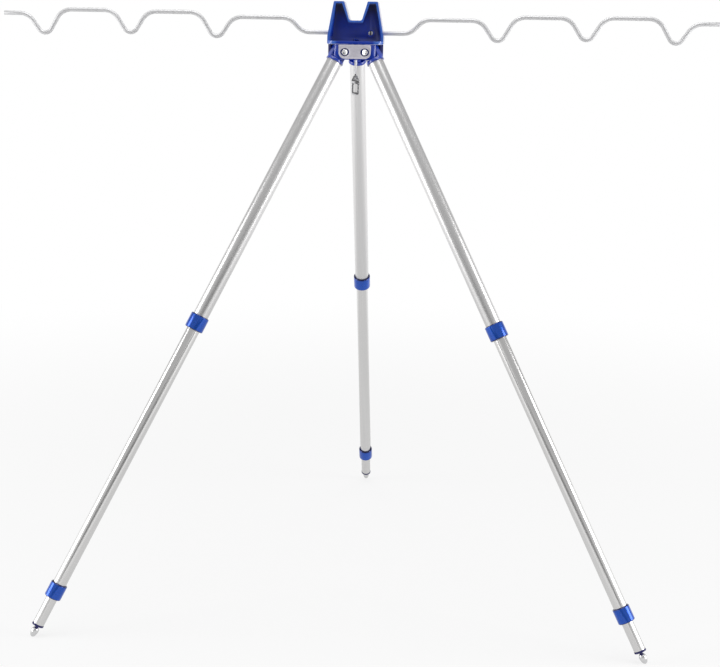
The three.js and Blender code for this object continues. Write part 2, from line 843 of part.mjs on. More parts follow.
// Knuckle: a tongue between the fork's cheeks, a cap over the tube and a plug in it
const flatTop = (x) => (tongueRound - x * Math.sin(lean)) / Math.cos(lean);
const tongueOutline = [
  point(tongueHalfWidth, -shoulderDrop - capRoof / 2),
  point(tongueHalfWidth, flatTop(tongueHalfWidth)),
];
const tongueArcSteps = 8;
for (let step = 0; step <= tongueArcSteps; step += 1) {
  const angle = Math.PI / 2 - lean + ((Math.PI / 2 + lean) * step) / tongueArcSteps;
  tongueOutline.push(point(Math.cos(angle), Math.sin(angle)).multiplyScalar(tongueRound));
}
tongueOutline.push(point(-tongueRound, -shoulderDrop - capRoof / 2));
const capSolid = turned(
  [
    [0, -shoulderDrop],
    [capTop / 2, -shoulderDrop],
    [capRim / 2, rimLevel],
    [upperOuter / 2 + seatGap, rimLevel],
    [upperOuter / 2 + seatGap, roofLevel],
    [upperInner / 2 - seatGap, roofLevel],
    [upperInner / 2 - seatGap, plugEnd],
    [0, plugEnd],
  ],
  tubeSides,
);
const knuckle = cut(
  join([upright(tongueOutline, -tongueThickness / 2, tongueThickness / 2), capSolid]),
  [bar(
    new THREE.Vector3(0, -tongueThickness, 0),
    new THREE.Vector3(0, tongueThickness, 0),
    pinThickness / 2 + seatGap,
    smallSides,
  )],
);

// Tubes
const upperTube = ring(upperInner / 2, upperOuter / 2, upperEnd, upperTop, tubeSides);
const middleTube = ring(middleInner / 2, middleOuter / 2, middleEnd, middleTop, tubeSides);
const lowerTube = ring(lowerInner / 2, lowerOuter / 2, lowerEnd, lowerTop, tubeSides);

// Twist collar over a tube's lower end, with a lip that holds the split bush under it
function collar(tubeEnd, outer, boreOf, lipOf) {
  const top = tubeEnd + collarCover;
  const bottom = top - collarLength;
  const bore = boreOf / 2 + seatGap;
  const lip = lipOf / 2 + lipGap;
  const profile = [
    [bore, top],
    [outer / 2 - collarChamfer, top],
    [outer / 2, top - collarChamfer],
    [outer / 2, bottom + collarChamfer],
    [outer / 2 - collarChamfer, bottom],
    [lip, bottom],
    [lip, bottom + collarLip],
    [bore, bottom + collarLip],
    [bore, top],
  ];
  return turned(profile, collarSides);
}

function bush(tubeEnd, outer, inner) {
  const low = tubeEnd + collarCover - collarLength + collarLip + seatGap;
  const sleeve = ring(inner / 2 + guideGap, outer / 2, low, tubeEnd - seatGap, tubeSides);
  const split = block(
    new THREE.Vector3(0, -bushSplit / 2, low - overrun),
    new THREE.Vector3(outer, bushSplit / 2, tubeEnd + overrun),
  );
  return cut(sleeve, [split]);
}

// Guide plug in a tube's top, its head running in the tube round it
function guide(top, runsIn, sitsIn) {
  return turned(
    [
      [0, top + seatGap + guideHeight],
      [runsIn / 2 - guideGap, top + seatGap + guideHeight],
      [runsIn / 2 - guideGap, top + seatGap],
      [sitsIn / 2 - seatGap, top + seatGap],
      [sitsIn / 2 - seatGap, top - guideTail],
      [0, top - guideTail],
    ],
    tubeSides,
  );
}

// End cap in the lowest tube, and the foot screwed into it
const capUnder = lowerEnd - seatGap - capRingHeight;
const endCap = turned(
  [
    [footStud / 2 + seatGap, lowerEnd + capTail],
    [lowerInner / 2 - seatGap, lowerEnd + capTail],
    [lowerInner / 2 - seatGap, lowerEnd - seatGap],
    [capRing / 2, lowerEnd - seatGap],
    [capRing / 2, capUnder],
    [footStud / 2 + seatGap, capUnder],
    [footStud / 2 + seatGap, lowerEnd + capTail],
  ],
  tubeSides,
);
const footTop = capUnder - footNeck;
const tipCentre = footTop - footStraight;
const footProfile = [
  [0, capUnder + footStudLength],
  [footStud / 2, capUnder + footStudLength],
  [footStud / 2, footTop],
  [footThickness / 2 - footChamfer, footTop],
  [footThickness / 2, footTop - footChamfer],
];
for (let step = 0; step <= footArcSteps; step += 1) {
  const angle = ((Math.PI / 2) * step) / footArcSteps;
  const radius = step === footArcSteps ? 0 : (Math.cos(angle) * footThickness) / 2;
  footProfile.push([radius, tipCentre - (Math.sin(angle) * footThickness) / 2]);
}
const foot = turned(footProfile, smallSides);

for (const place of pinPlaces) {
  const group = new THREE.Group();
  group.position.copy(place.pivot);
  group.rotation.order = 'ZYX';
  group.rotation.z = place.angle;
  group.rotation.y = -lean;
  stand.add(group);
  const name = (part) => `${place.side}_${part}`;
  piece(group, name('knuckle'), knuckle, royalBlue);
  piece(group, name('upper_tube'), upperTube, aluminium);
  piece(group, name('upper_bush'), bush(upperEnd, upperOuter, middleOuter), nylon);
  piece(group, name('upper_collar'), collar(upperEnd, upperCollarOuter, upperOuter, middleOuter), royalBlue);
  piece(group, name('middle_tube'), middleTube, aluminium);
  piece(group, name('middle_guide'), guide(middleTop, upperInner, middleInner), nylon);
  piece(group, name('lower_bush'), bush(middleEnd, middleOuter, lowerOuter), nylon);
  piece(group, name('lower_collar'), collar(middleEnd, lowerCollarOuter, middleOuter, lowerOuter), royalBlue);
  piece(group, name('lower_tube'), lowerTube, aluminium);
  piece(group, name('lower_guide'), guide(lowerTop, middleInner, lowerInner), nylon);
  piece(group, name('end_cap'), endCap, deepBlue);
  piece(group, name('foot'), foot, steel);
}

// The whole stand, moved so that its feet stand on zero height under the middle of its outline
stand.updateMatrixWorld(true);
const bounds = new THREE.Box3().setFromObject(stand, true);
const middle = bounds.getCenter(new THREE.Vector3());
stand.position.set(-middle.x, -middle.y, -bounds.min.z);
const rodTripod = new THREE.Group();
rodTripod.add(stand);

export default rodTripod;
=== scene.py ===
import json
import math
import bmesh
import bpy
import numpy as np
from mathutils import Matrix, Vector


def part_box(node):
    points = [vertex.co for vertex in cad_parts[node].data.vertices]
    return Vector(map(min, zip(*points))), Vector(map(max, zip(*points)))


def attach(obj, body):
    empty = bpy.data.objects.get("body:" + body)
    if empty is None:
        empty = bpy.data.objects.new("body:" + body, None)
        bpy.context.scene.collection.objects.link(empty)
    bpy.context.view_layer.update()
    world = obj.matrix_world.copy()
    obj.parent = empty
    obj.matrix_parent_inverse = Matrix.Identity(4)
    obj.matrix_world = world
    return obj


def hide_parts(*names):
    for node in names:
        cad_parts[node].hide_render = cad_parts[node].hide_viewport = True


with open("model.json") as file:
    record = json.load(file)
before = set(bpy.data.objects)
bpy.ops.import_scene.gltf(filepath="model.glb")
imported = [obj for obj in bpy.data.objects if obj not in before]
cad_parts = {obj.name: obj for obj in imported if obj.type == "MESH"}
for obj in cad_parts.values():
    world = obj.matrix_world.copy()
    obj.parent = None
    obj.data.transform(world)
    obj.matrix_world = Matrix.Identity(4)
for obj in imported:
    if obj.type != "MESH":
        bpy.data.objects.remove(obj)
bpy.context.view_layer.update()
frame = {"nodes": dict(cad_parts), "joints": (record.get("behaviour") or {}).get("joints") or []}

# Camera: a 66 mm lens at the crown's own height, a little to the right, tipped 12.6 degrees down.
# It is rolled by one degree, because the photographed stand leans a little on its legs.
view_turn = math.radians(-3.432)
view_dip = math.radians(12.603)
view_roll = math.radians(-1.0)
view_pixels = 1325.1
photo_width = 720
sensor_width = 36
eye = Vector((0.12783, -2.04112, 0.82182))
forward = Vector((0, math.cos(view_dip), -math.sin(view_dip)))
upward = Vector((0, math.sin(view_dip), math.cos(view_dip)))
across = Vector((1, 0, 0))
camera_right = math.cos(view_roll) * across - math.sin(view_roll) * upward
camera_up = math.sin(view_roll) * across + math.cos(view_roll) * upward
turn_back = Matrix.Rotation(-view_turn, 3, "Z")
camera_axes = Matrix((turn_back @ camera_right, turn_back @ camera_up, -(turn_back @ forward))).transposed()
camera = bpy.data.objects.new("camera", bpy.data.cameras.new("camera"))
bpy.context.scene.collection.objects.link(camera)
camera.matrix_world = Matrix.Translation(eye) @ camera_axes.to_4x4()
camera.data.sensor_width = sensor_width
camera.data.lens = view_pixels * sensor_width / photo_width
camera.data.clip_end = 50
bpy.context.scene.camera = camera

# Studio: a white floor that keeps the stand's shadow, and a plain white surround.
# In the metal the surround is white at the sides and behind, and darker above and round the camera.
scene = bpy.context.scene
scene.view_settings.view_transform = "Standard"


def math_node(nodes, links, operation, first, second):
    """One sum of two sockets or numbers; returns its value socket."""
    node = nodes.new("ShaderNodeMath")
    node.operation = operation
    for socket, given in zip(node.inputs, (first, second)):
        if isinstance(given, (int, float)):
            socket.default_value = given
        else:
            links.new(given, socket)
    return node.outputs[0]


def ramp_node(nodes, links, value, start, stop, first=0.0, last=1.0):
    """A smooth step that goes from first to last while the value goes from start to stop."""
    node = nodes.new("ShaderNodeMapRange")
    node.interpolation_type = "SMOOTHSTEP"
    links.new(value, node.inputs["Value"])
    names = ("From Min", "From Max", "To Min", "To Max")
    for name, level in zip(names, (start, stop, first, last)):
        node.inputs[name].default_value = level
    return node.outputs["Result"]


def shown_rays(nodes, links):
    """Two shares: 1 for rays that show the surround, straight or mirrored, and 1 for the camera's own."""
    rays = nodes.new("ShaderNodeLightPath").outputs
    mirrored = math_node(nodes, links, "MAXIMUM", rays["Is Glossy Ray"], rays["Is Transmission Ray"])
    return math_node(nodes, links, "MAXIMUM", rays["Is Camera Ray"], mirrored), rays["Is Camera Ray"]


world = bpy.data.worlds.new("surround")
scene.world = world
world.use_nodes = True
world_nodes, world_links = world.node_tree.nodes, world.node_tree.links
world_nodes.clear()
world_out = world_nodes.new("ShaderNodeOutputWorld")
shown = world_nodes.new("ShaderNodeBackground")
lit = world_nodes.new("ShaderNodeBackground")
for background in (shown, lit):
    background.inputs["Color"].default_value = (1, 1, 1, 1)
lit_share = 0.52
toward = world_nodes.new("ShaderNodeSeparateXYZ")
world_links.new(world_nodes.new("ShaderNodeTexCoord").outputs["Generated"], toward.inputs["Vector"])
overhead = ramp_node(world_nodes, world_links, toward.outputs["Z"], 0.05, 0.34, 1.0, 0.50)
low = ramp_node(world_nodes, world_links, toward.outputs["Z"], 0.10, 0.26, 0.74, 0.0)
ahead = ramp_node(world_nodes, world_links, toward.outputs["Y"], -0.96, -0.74, 1.0, 0.0)
camera_shade = math_node(world_nodes, world_links, "MULTIPLY", low, ahead)
darker = math_node(
    world_nodes, world_links, "MULTIPLY", overhead,
    math_node(world_nodes, world_links, "SUBTRACT", 1.0, camera_shade),
)
shown_share, camera_share = shown_rays(world_nodes, world_links)
shown_strength = math_node(world_nodes, world_links, "MAXIMUM", darker, camera_share)
lit_strength = math_node(world_nodes, world_links, "MULTIPLY", darker, lit_share)
world_links.new(shown_strength, shown.inputs["Strength"])
world_links.new(lit_strength, lit.inputs["Strength"])
choose = world_nodes.new("ShaderNodeMixShader")
world_links.new(shown_share, choose.inputs[0])
world_links.new(lit.outputs[0], choose.inputs[1])
world_links.new(shown.outputs[0], choose.inputs[2])
world_links.new(choose.outputs[0], world_out.inputs["Surface"])

floor_reach = 30
floor_corners = [(x * floor_reach, y * floor_reach, 0) for x, y in ((-1, -1), (1, -1), (1, 1), (-1, 1))]
floor_mesh = bpy.data.meshes.new("floor")
floor_mesh.from_pydata(floor_corners, [], [(0, 1, 2, 3)])
floor = bpy.data.objects.new("floor", floor_mesh)
scene.collection.objects.link(floor)
floor_white = bpy.data.materials.new("floor_white")
floor_white.use_nodes = True
floor_nodes, floor_links = floor_white.node_tree.nodes, floor_white.node_tree.links
floor_paper = floor_nodes["Principled BSDF"]
floor_paper.inputs["Roughness"].default_value = 1.0
floor_paper.inputs["Specular IOR Level"].default_value = 0.0
floor_glow = floor_nodes.new("ShaderNodeEmission")
floor_place = floor_nodes.new("ShaderNodeTexCoord").outputs["Object"]
floor_far = floor_nodes.new("ShaderNodeVectorMath")
floor_far.operation = "LENGTH"
floor_links.new(floor_place, floor_far.inputs[0])
floor_share = ramp_node(floor_nodes, floor_links, floor_far.outputs["Value"], 0.35, 2.2, 0.80, 1.0)
floor_shown, floor_camera = shown_rays(floor_nodes, floor_links)
floor_across = floor_nodes.new("ShaderNodeSeparateXYZ")
floor_links.new(floor_place, floor_across.inputs["Vector"])
floor_front = ramp_node(floor_nodes, floor_links, floor_across.outputs["Y"], -2.8, -1.4, 0.12, 1.0)
floor_middle = ramp_node(floor_nodes, floor_links, floor_far.outputs["Value"], 0.45, 1.15, 0.72, 1.0)
floor_mirrored = math_node(floor_nodes, floor_links, "MINIMUM", floor_front, floor_middle)
floor_strength = math_node(floor_nodes, floor_links, "MAXIMUM", floor_mirrored, floor_camera)
floor_links.new(floor_strength, floor_glow.inputs["Strength"])
floor_tone = floor_nodes.new("ShaderNodeMix")
floor_tone.data_type = "RGBA"
floor_tone.inputs["A"].default_value = (0.20, 0.20, 0.20, 1)
floor_tone.inputs["B"].default_value = (0.95, 0.95, 0.95, 1)
floor_near = ramp_node(floor_nodes, floor_links, floor_across.outputs["Y"], -2.2, -0.9, 0.0, 1.0)
floor_links.new(floor_near, floor_tone.inputs["Factor"])
floor_links.new(floor_tone.outputs["Result"], floor_paper.inputs["Base Color"])
floor_glow_share = math_node(floor_nodes, floor_links, "MULTIPLY", floor_share, floor_shown)
floor_mix = floor_nodes.new("ShaderNodeMixShader")
floor_links.new(floor_glow_share, floor_mix.inputs[0])
floor_links.new(floor_paper.outputs[0], floor_mix.inputs[1])
floor_links.new(floor_glow.outputs[0], floor_mix.inputs[2])
floor_links.new(floor_mix.outputs[0], floor_nodes["Material Output"].inputs["Surface"])
floor_mesh.materials.append(floor_white)

for lamp_name, place, aim_at, wide, high, power in [
    ("top_lamp", (0.0, -0.4, 2.9), (0, -0.1, 0.45), 2.0, 2.0, 30),
    ("left_panel", (-2.5, -0.85, 0.96), (0, -0.1, 0.96), 1.1, 1.86, 28),
    ("right_panel", (2.6, -0.70, 0.94), (0, -0.1, 0.94), 1.3, 1.82, 33),
]:
    lamp = bpy.data.objects.new(lamp_name, bpy.data.lights.new(lamp_name, "AREA"))
    lamp.data.shape = "RECTANGLE"
    lamp.data.size = wide
    lamp.data.size_y = high
    lamp.data.energy = power
    lamp.location = place
    aim = Vector(aim_at) - lamp.location
    lamp.rotation_euler = aim.to_track_quat("-Z", "Y").to_euler()
    scene.collection.objects.link(lamp)

# Tubes: three drawn aluminium tubes to a leg, 22, 19 and 16 mm, each sliding in the one above.
# Their wall ends are cut square and broken at the edges, and faint draw lines run along them.


def make_piece(name, points, faces, body, stands_for, finish):
    """Puts corner points and faces into a mesh that rides on a body and stands for CAD nodes."""
    mesh = bpy.data.meshes.new(name)
    mesh.from_pydata([], [], [])
    points = np.asarray(points, float).reshape(-1, 3)
    sides = np.array([len(face) for face in faces], np.int32)
    loops = np.concatenate([np.asarray(face, np.int32) for face in faces])
    mesh.vertices.add(len(points))
    mesh.vertices.foreach_set("co", points.ravel())
    mesh.loops.add(len(loops))
    mesh.loops.foreach_set("vertex_index", loops)
    mesh.polygons.add(len(sides))
    mesh.polygons.foreach_set("loop_start", np.concatenate([[0], np.cumsum(sides)[:-1]]).astype(np.int32))
    mesh.update(calc_edges=True)
    mesh.validate()
    mesh.polygons.foreach_set("use_smooth", np.ones(len(mesh.polygons), bool))
    mesh.set_sharp_from_angle(angle=math.radians(38))
    mesh.materials.append(finish)
    piece = bpy.data.objects.new(name, mesh)
    scene.collection.objects.link(piece)
    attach(piece, body)
    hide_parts(*stands_for)
    return piece


def eased(profile, ease, steps=3):
    """The profile with every corner between two straight runs replaced by a short curve.

    The curve is (1 - t)^2 * start + 2 t (1 - t) * corner + t^2 * end, where start and end lie on
    the two runs, the ease away from the corner, or less where a run is short.
    """
    profile = [np.array(p, float) for p in profile]
    closed = np.allclose(profile[0], profile[-1])
    if closed:
        profile = profile[:-1]
    count = len(profile)
    out = []
    for i, corner in enumerate(profile):
        if not closed and i in (0, count - 1):
            out.append(corner[None, :])
            continue
        into = profile[i - 1] - corner
        off = profile[(i + 1) % count] - corner
        reach = min(ease, np.linalg.norm(into) / 2.2, np.linalg.norm(off) / 2.2)
        start = corner + into / np.linalg.norm(into) * reach
        end = corner + off / np.linalg.norm(off) * reach
        t = np.linspace(0, 1, steps + 1)[:, None]
        out.append((1 - t) ** 2 * start + 2 * t * (1 - t) * corner + t ** 2 * end)
    out = np.concatenate(out)
    return np.concatenate([out, out[:1]]) if closed else out


def turned(name, profile, origin, axis, body, stands_for, finish, slot_name, steps=72, ease=0.0004):
    """A profile of (radius, distance) turned about an axis through the origin point.

    A point of it is origin + distance * axis + radius * (cos a * e + sin a * f), where e and f
    are square to the axis and a runs round it. The attribute "along" holds that point measured
    from the axis, as radius * cos a, radius * sin a and distance.
    """
    path = eased(profile, ease)
    keep = np.concatenate([[True], np.linalg.norm(np.diff(path, axis=0), axis=1) > 1e-7])
    path = path[keep]
    closed = np.allclose(path[0], path[-1], atol=1e-7)
    if closed:
        path = path[:-1]
    k = np.array(axis, float) / np.linalg.norm(axis)
    e = np.cross(k, [0.0, 0.0, 1.0] if abs(k[2]) < 0.9 else [1.0, 0.0, 0.0])
    e /= np.linalg.norm(e)
    f = np.cross(k, e)
    angle = np.linspace(0, 2 * np.pi, steps, endpoint=False)
    radius, far = path[:, 0], path[:, 1]
    local = np.stack(
        [
            radius[:, None] * np.cos(angle),
            radius[:, None] * np.sin(angle),
            np.repeat(far[:, None], steps, axis=1),
        ],
        axis=-1,
    )
    points = np.array(origin, float) + local[..., :1] * e + local[..., 1:2] * f + local[..., 2:] * k
    rows = len(path)
    last_row = rows if closed else rows - 1
    pole = radius < 1e-9
    corner = np.arange(rows)[:, None] * steps + np.where(pole[:, None], 0, np.arange(steps)[None, :])
    i, j = np.meshgrid(np.arange(last_row), np.arange(steps), indexing="ij")
    nxt_i, nxt_j = (i + 1) % rows, (j + 1) % steps
    quads = np.stack([corner[i, j], corner[i, nxt_j], corner[nxt_i, nxt_j], corner[nxt_i, j]], axis=-1)
    quads = quads.reshape(-1, 4)
    area = np.sum(far * (np.roll(radius, -1) - np.roll(radius, 1)))
    if area > 0:
        quads = quads[:, ::-1]
    used, quads = np.unique(quads, return_inverse=True)
    quads = quads.reshape(-1, 4)
    doubled = quads == np.roll(quads, -1, axis=1)
    faces = list(quads[~doubled.any(axis=1)])
    faces += list(quads[doubled.any(axis=1)][~doubled[doubled.any(axis=1)]].reshape(-1, 3))
    local = local.reshape(-1, 3)[used]
    piece = make_piece(name, points.reshape(-1, 3)[used], faces, body, stands_for, finish)
    along = piece.data.attributes.new("along", "FLOAT_VECTOR", "POINT")
    along.data.foreach_set("vector", local.astype(np.float32).ravel())
    return piece


def finish_of(name, colour, roughness, metallic=0.0, coat=0.0):
    """A new material with these values; returns it with its nodes, its links and its surface shader."""
    finish = bpy.data.materials.new(name)
    finish.use_nodes = True
    shader = finish.node_tree.nodes["Principled BSDF"]
    shader.inputs["Base Color"].default_value = (*colour, 1)
    shader.inputs["Roughness"].default_value = roughness
    shader.inputs["Metallic"].default_value = metallic
    shader.inputs["Coat Weight"].default_value = coat
    return finish, finish.node_tree.nodes, finish.node_tree.links, shader


def mottle_group():
    """A node group: soft noise of a given size, mapped between a low and a high value."""
    group = bpy.data.node_groups.new("mottle", "ShaderNodeTree")
    group.interface.new_socket("Place", in_out="INPUT", socket_type="NodeSocketVector")
    for name in ("Scale", "Detail", "Low", "High"):
        group.interface.new_socket(name, in_out="INPUT", socket_type="NodeSocketFloat")
    group.interface.new_socket("Value", in_out="OUTPUT", socket_type="NodeSocketFloat")
    inner, link = group.nodes, group.links.new
    given, result = inner.new("NodeGroupInput"), inner.new("NodeGroupOutput")
    noise, spread = inner.new("ShaderNodeTexNoise"), inner.new("ShaderNodeMapRange")
    spread.inputs["From Min"].default_value = 0.3
    spread.inputs["From Max"].default_value = 0.7
    link(given.outputs["Place"], noise.inputs["Vector"])
    link(given.outputs["Scale"], noise.inputs["Scale"])
    link(given.outputs["Detail"], noise.inputs["Detail"])
    link(noise.outputs["Fac"], spread.inputs["Value"])
    link(given.outputs["Low"], spread.inputs["To Min"])
    link(given.outputs["High"], spread.inputs["To Max"])
    link(spread.outputs["Result"], result.inputs["Value"])
    return group


mottle = mottle_group()


def add_mottle(nodes, links, place, scale, low, high, detail=4.0):
    """One mottle in a material, reading the given place; returns its value socket."""
    node = nodes.new("ShaderNodeGroup")
    node.node_tree = mottle
    links.new(place, node.inputs["Place"])
    for name, value in (("Scale", scale), ("Detail", detail), ("Low", low), ("High", high)):
        node.inputs[name].default_value = value
    return node.outputs["Value"]


def add_tint(nodes, links, value, dark, light):
    """A colour between dark and light that follows a value from 0 to 1."""
    mix = nodes.new("ShaderNodeMix")
    mix.data_type = "RGBA"
    mix.inputs["A"].default_value = (*dark, 1)
    mix.inputs["B"].default_value = (*light, 1)
    links.new(value, mix.inputs["Factor"])
    return mix.outputs["Result"]


def add_bump(nodes, links, shader, height, strength, distance):
    """Feeds a height into the shader's normal."""
    bump = nodes.new("ShaderNodeBump")
    bump.inputs["Strength"].default_value = strength
    bump.inputs["Distance"].default_value = distance
    links.new(height, bump.inputs["Height"])
    links.new(bump.outputs["Normal"], shader.inputs["Normal"])


def drawn_metal(name, dark, light, smooth, rough, line=900.0, metallic=1.0):
    """Drawn metal: fine lines that run along the piece, read from its own "along" attribute."""
    finish, nodes, links, shader = finish_of(name, light, rough, metallic=metallic)
    along = nodes.new("ShaderNodeAttribute")
    along.attribute_name = "along"
    stretch = nodes.new("ShaderNodeMapping")
    stretch.inputs["Scale"].default_value = (line, line, 6.0)
    links.new(along.outputs["Vector"], stretch.inputs["Vector"])
    lines = add_mottle(nodes, links, stretch.outputs["Vector"], 1.0, 0.0, 1.0, 3.0)
    handled = add_mottle(nodes, links, along.outputs["Vector"], 26.0, smooth, rough, 5.0)
    links.new(add_tint(nodes, links, lines, dark, light), shader.inputs["Base Color"])
    links.new(handled, shader.inputs["Roughness"])
    add_bump(nodes, links, shader, lines, 0.03, 0.0001)
    return finish


satin_aluminium = drawn_metal("satin_aluminium", (0.74, 0.735, 0.735), (0.80, 0.795, 0.795), 0.28, 0.34)
drawn_aluminium = drawn_metal("drawn_aluminium", (0.76, 0.755, 0.75), (0.82, 0.815, 0.81), 0.18, 0.23)
hinges = {joint["name"]: joint for joint in frame["joints"]}
legs = {}
for side in ("left", "right", "rear"):
    legs[side] = (hinges[f"{side}_leg_fold"]["pos_m"], hinges[f"{side}_middle_slide"]["axis"])

tube_sizes = {
    "upper": (0.0098, 0.0110, 0.0130, 0.4313),
    "middle": (0.0083, 0.0095, 0.3938, 0.8523),
    "lower": (0.0068, 0.0080, 0.4743, 0.9043),
}
tube_finish = {
    "upper": (satin_aluminium, "tube_aluminium"),
    "middle": (drawn_aluminium, "tube_aluminium"),
    "lower": (drawn_aluminium, "tube_aluminium"),
}
for side, (pivot, down) in legs.items():
    for part, (bore, outside, top, end) in tube_sizes.items():
        wall = [(bore, top), (outside, top), (outside, end), (bore, end), (bore, top)]
        turned(
            f"{side}_{part}_tube_drawn", wall, pivot, down, f"{side}_{part}",
            [f"{side}_{part}_tube"], *tube_finish[part], steps=96, ease=0.0002,
        )

# Twist collars: moulded blue sleeves over the lower ends of the upper and middle tubes.
# Each is smooth and glossy, its plastic slightly metallic, with a small chamfer at both ends
# that carries a painted dark reflection, and a lip round the inner tube.


def moulded_blue(name, dark, light, smooth, rough, polish=0.7):
    """Injection moulded plastic: even colour with faint flow marks, under a polished skin."""
    finish, nodes, links, shader = finish_of(name, light, rough, coat=polish)
    shader.inputs["Coat Roughness"].default_value = 0.06
    place = nodes.new("ShaderNodeTexCoord").outputs["Object"]
    flow = add_mottle(nodes, links, place, 38.0, 0.0, 1.0, 3.0)
    skin = add_mottle(nodes, links, place, 2600.0, 0.0, 1.0, 2.0)
    gloss = add_mottle(nodes, links, place, 90.0, smooth, rough, 4.0)
    links.new(add_tint(nodes, links, flow, dark, light), shader.inputs["Base Color"])
    links.new(gloss, shader.inputs["Roughness"])
    add_bump(nodes, links, shader, skin, 0.08, 0.0001)
    return finish


def gap_node(nodes, links, value, middle):
    """The distance of a value from a middle, as a socket."""
    return math_node(nodes, links, "ABSOLUTE", math_node(nodes, links, "SUBTRACT", value, middle), 0.0)


def add_tone(nodes, links, shader, share, tone):
    """Mixes a tone into the shader's base colour by a share from 0 to 1."""
    mix = nodes.new("ShaderNodeMix")
    mix.data_type = "RGBA"
    links.new(share, mix.inputs["Factor"])
    links.new(shader.inputs["Base Color"].links[0].from_socket, mix.inputs["A"])
    mix.inputs["B"].default_value = (*tone, 1)
    links.new(mix.outputs["Result"], shader.inputs["Base Color"])


collar_middles = (tube_sizes["upper"][3], tube_sizes["middle"][3])
collar_half = 0.011
collar_chamfer = 0.001
collar_lip = 0.0022
collar_sizes = {
    "upper": (collar_middles[0], 0.01335, 0.0113, 0.0099),
    "lower": (collar_middles[1], 0.01185, 0.0098, 0.0084),
}
# The tone of the painted dark reflection on the collars' ends.
collar_painted_dark_reflection = (0.002, 0.010, 0.110)
collar_blue = moulded_blue(
    "collar_blue", (0.003, 0.072, 0.480), (0.004, 0.092, 0.560), 0.16, 0.24, polish=0.5
)
collar_nodes, collar_links = collar_blue.node_tree.nodes, collar_blue.node_tree.links
collar_shader = collar_nodes["Principled BSDF"]
collar_shader.inputs["Metallic"].default_value = 0.5
collar_along = collar_nodes.new("ShaderNodeAttribute")
collar_along.attribute_name = "along"
collar_place = collar_nodes.new("ShaderNodeSeparateXYZ")
collar_links.new(collar_along.outputs["Vector"], collar_place.inputs["Vector"])
collar_far = collar_place.outputs["Z"]
collar_gaps = [gap_node(collar_nodes, collar_links, collar_far, middle) for middle in collar_middles]
collar_gap = math_node(collar_nodes, collar_links, "MINIMUM", *collar_gaps)
# Painted dark reflection: each collar is darkened within about 1.6 mm of both ends.
collar_painted_edge_share = ramp_node(collar_nodes, collar_links, collar_gap, collar_half - 0.0016, collar_half - 0.0007)
add_tone(collar_nodes, collar_links, collar_shader, collar_painted_edge_share, collar_painted_dark_reflection)
for side, (pivot, down) in legs.items():
    for part, (middle, outside, bore, lip) in collar_sizes.items():
        top, end = middle - collar_half, middle + collar_half
        sleeve = [
            (bore, top), (outside - collar_chamfer, top), (outside, top + collar_chamfer),
            (outside, end - collar_chamfer), (outside - collar_chamfer, end), (lip, end),
            (lip, end - collar_lip), (bore, end - collar_lip), (bore, top),
        ]
        turned(
            f"{side}_{part}_collar_sleeve", sleeve, pivot, down, f"{side}_{part}_collar",
            [f"{side}_{part}_collar"], collar_blue, "blue_plastic", steps=96, ease=0.0005,
        )

# End caps: dark blue moulded plugs pressed into the lowest tubes.
# A thin ring covers the tube's end, and a hole through the middle takes the foot's stud.
deep_blue = moulded_blue("deep_blue", (0.004, 0.003, 0.090), (0.006, 0.005, 0.130), 0.40, 0.52, polish=0.0)
for side, (pivot, down) in legs.items():
    plug = [
        (0.0033, 0.8903), (0.0065, 0.8903), (0.0065, 0.9046), (0.0084, 0.9046),
        (0.0084, 0.9071), (0.0033, 0.9071), (0.0033, 0.8903),
    ]
    turned(
        f"{side}_end_cap_plug", plug, pivot, down, f"{side}_lower",
        [f"{side}_end_cap"], deep_blue, "dark_blue_plastic", steps=64, ease=0.0005,
    )

# Feet: turned steel bullets with a thin neck, screwed into the end caps.
# Each swells below its neck and narrows to a round tip, a little scuffed.


def turned_steel(name, dark, light, smooth, rough):
    """Bright turned metal with fine scuffs, read from Object coordinates."""
    finish, nodes, links, shader = finish_of(name, light, rough, metallic=1.0)
    place = nodes.new("ShaderNodeTexCoord").outputs["Object"]
    scuff = add_mottle(nodes, links, place, 420.0, 0.0, 1.0, 5.0)
    gloss = add_mottle(nodes, links, place, 160.0, smooth, rough, 4.0)
    links.new(add_tint(nodes, links, scuff, dark, light), shader.inputs["Base Color"])
    links.new(gloss, shader.inputs["Roughness"])
    add_bump(nodes, links, shader, scuff, 0.06, 0.0001)
    return finish


bright_steel = turned_steel("bright_steel", (0.62, 0.62, 0.64), (0.74, 0.74, 0.75), 0.14, 0.24)
foot_steel = turned_steel("foot_steel", (0.72, 0.72, 0.73), (0.84, 0.84, 0.84), 0.08, 0.14)
foot_neck = [(0.0021, 0.9076), (0.0022, 0.9084), (0.0029, 0.9096), (0.0039, 0.9108), (0.0047, 0.9121)]
foot_belly = [(0.0051, 0.9133), (0.00525, 0.9146), (0.0051, 0.9162), (0.0048, 0.9180), (0.0043, 0.9198)]
foot_tip = [(0.0037, 0.9214), (0.0029, 0.9227), (0.0019, 0.9236), (0.0009, 0.9240), (0.0, 0.92415)]
foot_stud = 0.003
for side, (pivot, down) in legs.items():
    bullet = [(0.0, 0.8951), (foot_stud, 0.8951), (foot_stud, 0.9070), *foot_neck, *foot_belly, *foot_tip]
    turned(
        f"{side}_foot_bullet", bullet, pivot, down, f"{side}_lower",
        [f"{side}_foot"], foot_steel, "foot_metal", steps=48, ease=0.0003,
    )

# Knuckles: blue moulded leg tops, a flat tongue held in the hub's fork and a cap over the tube.
# The tongue's top is cut level where it stops against the crown when the leg is spread.
moulded_dark = (0.003, 0.038, 0.420)
moulded_light = (0.004, 0.050, 0.500)
royal_blue = moulded_blue("royal_blue", moulded_dark, moulded_light, 0.16, 0.24)
knuckle_lean = math.radians(30)
tongue_round = 0.0105
tongue_half = 0.0116
tongue_thickness = 0.0105
tongue_foot = 0.012


